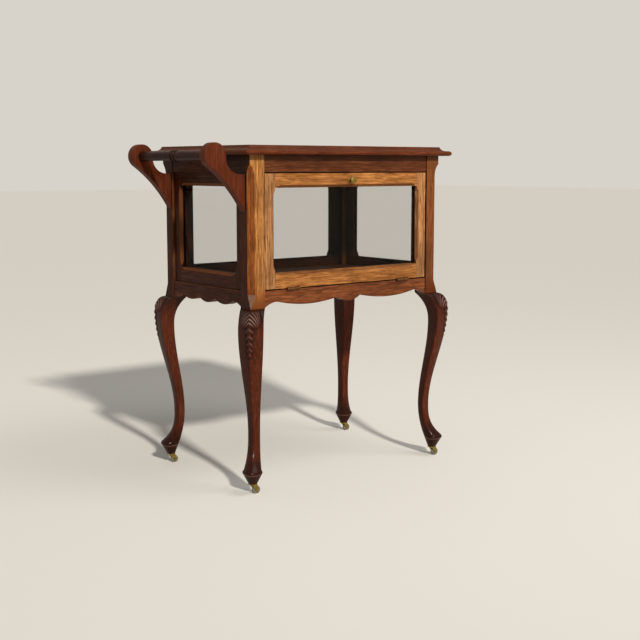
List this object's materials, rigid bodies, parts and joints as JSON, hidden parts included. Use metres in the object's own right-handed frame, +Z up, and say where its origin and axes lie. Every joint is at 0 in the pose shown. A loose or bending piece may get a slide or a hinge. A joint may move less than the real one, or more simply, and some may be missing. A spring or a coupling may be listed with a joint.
{
  "type": "glazed display trolley",
  "caption": "Glazed oak display case on cabriole legs, with a drop-front door, a turned push handle on swan-neck brackets, and swivel casters.",
  "frame": {"origin": "on the floor, under the middle of the whole outline with the handle", "axes": "+X along the front towards the end without the handle, +Y to the back, +Z up"},
  "size_m": [0.7164, 0.42, 0.8045],
  "materials": {
    "oak_leg": "polished dark oak",
    "oak_top": "polished red-brown oak",
    "oak_case": "polished brown oak",
    "oak_door": "worn golden oak",
    "oak_inner": "plain oak",
    "glass": "clear plate glass",
    "aged_brass": "aged brass"
  },
  "bodies": {
    "case": {"apron_back": "oak_case", "apron_front": "oak_case", "apron_left": "oak_case", "apron_right": "oak_case", "back_bottom_rail": "oak_case", "back_glass": "glass", "back_glazing_beads": "oak_inner", "back_left_stile": "oak_case", "back_right_stile": "oak_case", "back_top_rail": "oak_case", "caster_plate_back_left": "aged_brass", "caster_plate_back_right": "aged_brass", "caster_plate_front_left": "aged_brass", "caster_plate_front_right": "aged_brass", "floor_bearers": "oak_inner", "floor_board": "oak_inner", "frieze_back": "oak_case", "frieze_front": "oak_case", "frieze_left": "oak_case", "frieze_right": "oak_case", "handle_bar": "oak_top", "handle_bracket_back": "oak_top", "handle_bracket_front": "oak_top", "hinge_frame_leaves": "aged_brass", "hinge_pins": "aged_brass", "left_back_stile": "oak_case", "left_bottom_rail": "oak_case", "left_front_stile": "oak_case", "left_glass": "glass", "left_glazing_beads": "oak_inner", "left_top_rail": "oak_case", "leg_back_left": "oak_leg", "leg_back_right": "oak_leg", "leg_front_left": "oak_leg", "leg_front_right": "oak_leg", "right_back_stile": "oak_case", "right_bottom_rail": "oak_case", "right_front_stile": "oak_case", "right_glass": "glass", "right_glazing_beads": "oak_inner", "right_top_rail": "oak_case", "top_board": "oak_top"},
    "door": {"door_bottom_rail": "oak_door", "door_glass": "glass", "door_glazing_beads": "oak_inner", "door_left_stile": "oak_door", "door_right_stile": "oak_door", "door_top_rail": "oak_door", "hinge_door_leaves": "aged_brass"},
    "catch": {"door_knob": "aged_brass", "latch_tongue": "aged_brass"},
    "caster_front_left": {"caster_horn_front_left": "aged_brass"},
    "wheel_front_left": {"caster_wheel_front_left": "aged_brass"},
    "caster_front_right": {"caster_horn_front_right": "aged_brass"},
    "wheel_front_right": {"caster_wheel_front_right": "aged_brass"},
    "caster_back_left": {"caster_horn_back_left": "aged_brass"},
    "wheel_back_left": {"caster_wheel_back_left": "aged_brass"},
    "caster_back_right": {"caster_horn_back_right": "aged_brass"},
    "wheel_back_right": {"caster_wheel_back_right": "aged_brass"}
  },
  "joints": [
    {"name": "door_drop", "type": "hinge", "parent": "case", "child": "door", "pos_m": [0.04175, -0.1875, 0.47125], "axis": [1, 0, 0], "range_deg": [0, 180]},
    {"name": "catch_turn", "type": "hinge", "parent": "door", "child": "catch", "pos_m": [0.04175, -0.184, 0.72], "axis": [0, -1, 0], "range_deg": [0, 90]},
    {"name": "swivel_front_left", "type": "hinge", "parent": "case", "child": "caster_front_left", "pos_m": [-0.2456, -0.18085, 0.0205], "axis": [0, 0, 1], "continuous": true},
    {"name": "roll_front_left", "type": "hinge", "parent": "caster_front_left", "child": "wheel_front_left", "pos_m": [-0.2366, -0.18085, 0.009], "axis": [0, 1, 0], "continuous": true},
    {"name": "swivel_front_right", "type": "hinge", "parent": "case", "child": "caster_front_right", "pos_m": [0.3291, -0.18085, 0.0205], "axis": [0, 0, 1], "continuous": true},
    {"name": "roll_front_right", "type": "hinge", "parent": "caster_front_right", "child": "wheel_front_right", "pos_m": [0.3381, -0.18085, 0.009], "axis": [0, 1, 0], "continuous": true},
    {"name": "swivel_back_left", "type": "hinge", "parent": "case", "child": "caster_back_left", "pos_m": [-0.2456, 0.18085, 0.0205], "axis": [0, 0, 1], "continuous": true},
    {"name": "roll_back_left", "type": "hinge", "parent": "caster_back_left", "child": "wheel_back_left", "pos_m": [-0.2366, 0.18085, 0.009], "axis": [0, 1, 0], "continuous": true},
    {"name": "swivel_back_right", "type": "hinge", "parent": "case", "child": "caster_back_right", "pos_m": [0.3291, 0.18085, 0.0205], "axis": [0, 0, 1], "continuous": true},
    {"name": "roll_back_right", "type": "hinge", "parent": "caster_back_right", "child": "wheel_back_right", "pos_m": [0.3381, 0.18085, 0.009], "axis": [0, 1, 0], "continuous": true}
  ]
}
